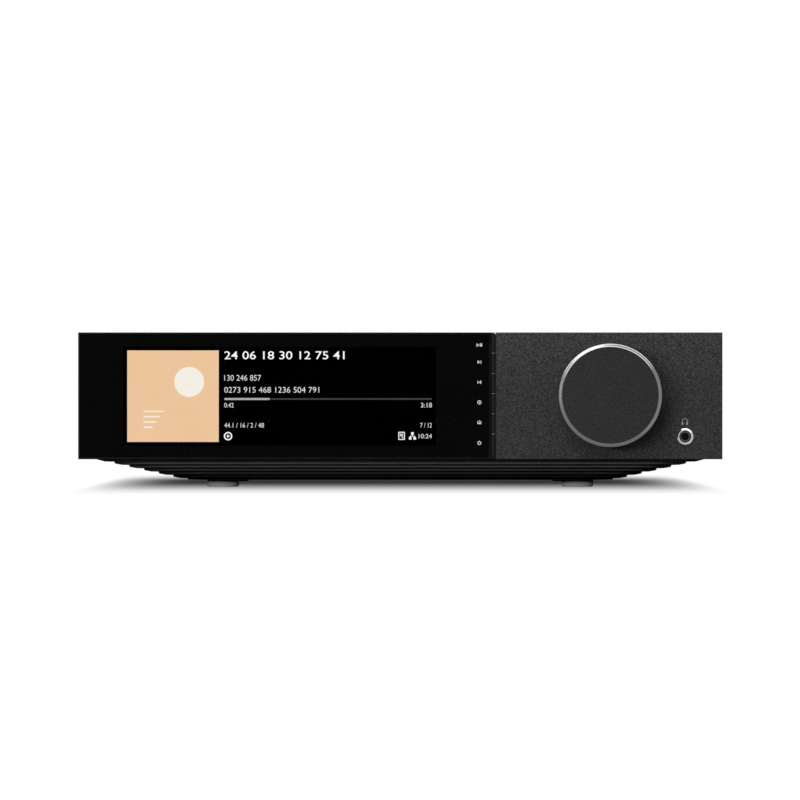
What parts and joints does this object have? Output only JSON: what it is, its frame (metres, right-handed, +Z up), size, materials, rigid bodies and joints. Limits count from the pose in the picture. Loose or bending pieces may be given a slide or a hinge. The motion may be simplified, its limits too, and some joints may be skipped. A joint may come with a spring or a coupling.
{
  "type": "streaming amplifier",
  "caption": "Compact home amplifier with a glass front and display, a column of slim keys, a large turning dial, a headphone socket and a stepped base.",
  "frame": {"origin": "on the floor, under the middle of the object's box, knob and terminals included", "axes": "+Z up, the front with its glass and dial faces -Y, +X to the right as seen from the front"},
  "size_m": [0.317, 0.352, 0.077],
  "materials": {
    "plinth_plastic": "moulded matt black",
    "foot_rubber": "soft matt rubber",
    "case_sheet": "fine textured powder coat",
    "flute_panel": "satin fluted composite",
    "screw_black": "black oxide",
    "cast_alloy": "as cast",
    "front_metal": "fine grained dark anodised",
    "frame_metal": "satin black",
    "front_glass": "polished",
    "mask_print": "black print",
    "lcd_screen": "lit display",
    "carrier_plastic": "moulded",
    "circuit_board": "solder resist",
    "ribbon_film": "flat film cable",
    "key_metal": "satin dark",
    "dial_metal": "matt dark anodised",
    "trim_metal": "bright turned",
    "shaft_steel": "turned",
    "bright_chrome": "plated",
    "socket_black": "moulded",
    "sink_metal": "extruded",
    "core_ferrite": "sintered",
    "capacitor_sleeve": "shrink sleeve",
    "can_metal": "tinned",
    "stem_brass": "plated brass",
    "cap_red": "moulded red",
    "cap_black": "moulded black"
  },
  "bodies": {
    "root": {"stepped_base": "plinth_plastic", "foot_pads": "foot_rubber", "chassis_pan": "case_sheet", "side_panel_left": "flute_panel", "side_panel_right": "flute_panel", "top_cover": "case_sheet", "rear_panel": "case_sheet", "lid_rail": "cast_alloy", "case_screws": "screw_black", "front_subframe": "cast_alloy", "control_panel": "front_metal", "glass_frame": "frame_metal", "display_glass": "front_glass", "display_mask": "mask_print", "lcd_panel": "lcd_screen", "display_carrier": "carrier_plastic", "display_board": "circuit_board", "ribbon_cable": "ribbon_film", "button_guide": "carrier_plastic", "button_board": "circuit_board", "button_switches": "socket_black", "encoder_body": "can_metal", "encoder_nut": "bright_chrome", "headphone_socket": "socket_black", "headphone_nut": "bright_chrome", "main_board": "circuit_board", "streaming_module": "can_metal", "amplifier_module": "circuit_board", "heat_sink": "sink_metal", "supply_board": "circuit_board", "supply_transformer": "core_ferrite", "supply_capacitors": "capacitor_sleeve", "board_standoffs": "stem_brass", "mains_inlet": "socket_black", "speaker_block": "socket_black", "speaker_stems": "stem_brass", "phono_sockets": "bright_chrome", "hdmi_socket": "can_metal", "usb_socket": "can_metal", "network_socket": "socket_black", "optical_socket": "socket_black"},
    "volume_dial": {"volume_knob": "dial_metal", "knob_trim_ring": "trim_metal", "volume_shaft": "shaft_steel"},
    "source_selector": {"source_ring": "dial_metal"},
    "rocker": {"power_rocker": "cap_black"},
    "play_pause_key": {"play_pause_button": "key_metal"},
    "next_key": {"next_button": "key_metal"},
    "previous_key": {"previous_button": "key_metal"},
    "info_key": {"info_button": "key_metal"},
    "home_key": {"home_button": "key_metal"},
    "power_key": {"power_button": "key_metal"},
    "washer_right_minus": {"speaker_washer_right_minus": "bright_chrome"},
    "cap_right_minus": {"speaker_cap_right_minus": "cap_black"},
    "washer_right_plus": {"speaker_washer_right_plus": "bright_chrome"},
    "cap_right_plus": {"speaker_cap_right_plus": "cap_red"},
    "washer_left_minus": {"speaker_washer_left_minus": "bright_chrome"},
    "cap_left_minus": {"speaker_cap_left_minus": "cap_black"},
    "washer_left_plus": {"speaker_washer_left_plus": "bright_chrome"},
    "cap_left_plus": {"speaker_cap_left_plus": "cap_red"}
  },
  "joints": [
    {"name": "volume_turn", "type": "hinge", "parent": "root", "child": "volume_dial", "pos_m": [0.10243, -0.154, 0.046], "axis": [0, 1, 0], "continuous": true},
    {"name": "source_turn", "type": "hinge", "parent": "root", "child": "source_selector", "pos_m": [0.10243, -0.154, 0.046], "axis": [0, 1, 0], "continuous": true},
    {"name": "rocker_tilt", "type": "hinge", "parent": "root", "child": "rocker", "pos_m": [-0.098, 0.1556, 0.0458], "axis": [1, 0, 0], "range_deg": [-18, 0]},
    {"name": "play_pause_press", "type": "slide", "parent": "root", "child": "play_pause_key", "axis": [0, 1, 0], "range_m": [0, 0.0005], "stiffness_N_per_m": 600, "springref_m": -0.002},
    {"name": "next_press", "type": "slide", "parent": "root", "child": "next_key", "axis": [0, 1, 0], "range_m": [0, 0.0005], "stiffness_N_per_m": 600, "springref_m": -0.002},
    {"name": "previous_press", "type": "slide", "parent": "root", "child": "previous_key", "axis": [0, 1, 0], "range_m": [0, 0.0005], "stiffness_N_per_m": 600, "springref_m": -0.002},
    {"name": "info_press", "type": "slide", "parent": "root", "child": "info_key", "axis": [0, 1, 0], "range_m": [0, 0.0005], "stiffness_N_per_m": 600, "springref_m": -0.002},
    {"name": "home_press", "type": "slide", "parent": "root", "child": "home_key", "axis": [0, 1, 0], "range_m": [0, 0.0005], "stiffness_N_per_m": 600, "springref_m": -0.002},
    {"name": "power_press", "type": "slide", "parent": "root", "child": "power_key", "axis": [0, 1, 0], "range_m": [0, 0.0005], "stiffness_N_per_m": 600, "springref_m": -0.002},
    {"name": "washer_slide_right_minus", "type": "slide", "parent": "root", "child": "washer_right_minus", "axis": [0, 1, 0], "range_m": [0, 0.004]},
    {"name": "cap_turn_right_minus", "type": "hinge", "parent": "washer_right_minus", "child": "cap_right_minus", "pos_m": [-0.044, 0.156, 0.0363], "axis": [0, 1, 0], "range_deg": [0, 1800]},
    {"name": "washer_slide_right_plus", "type": "slide", "parent": "root", "child": "washer_right_plus", "axis": [0, 1, 0], "range_m": [0, 0.004]},
    {"name": "cap_turn_right_plus", "type": "hinge", "parent": "washer_right_plus", "child": "cap_right_plus", "pos_m": [-0.044, 0.156, 0.0553], "axis": [0, 1, 0], "range_deg": [0, 1800]},
    {"name": "washer_slide_left_minus", "type": "slide", "parent": "root", "child": "washer_left_minus", "axis": [0, 1, 0], "range_m": [0, 0.004]},
    {"name": "cap_turn_left_minus", "type": "hinge", "parent": "washer_left_minus", "child": "cap_left_minus", "pos_m": [-0.02, 0.156, 0.0363], "axis": [0, 1, 0], "range_deg": [0, 1800]},
    {"name": "washer_slide_left_plus", "type": "slide", "parent": "root", "child": "washer_left_plus", "axis": [0, 1, 0], "range_m": [0, 0.004]},
    {"name": "cap_turn_left_plus", "type": "hinge", "parent": "washer_left_plus", "child": "cap_left_plus", "pos_m": [-0.02, 0.156, 0.0553], "axis": [0, 1, 0], "range_deg": [0, 1800]}
  ],
  "couplings": [
    {"joint": "cap_turn_right_minus", "follows": "washer_slide_right_minus", "rad_per_m": 7853.9},
    {"joint": "cap_turn_right_plus", "follows": "washer_slide_right_plus", "rad_per_m": 7853.9},
    {"joint": "cap_turn_left_minus", "follows": "washer_slide_left_minus", "rad_per_m": 7853.9},
    {"joint": "cap_turn_left_plus", "follows": "washer_slide_left_plus", "rad_per_m": 7853.9}
  ]
}
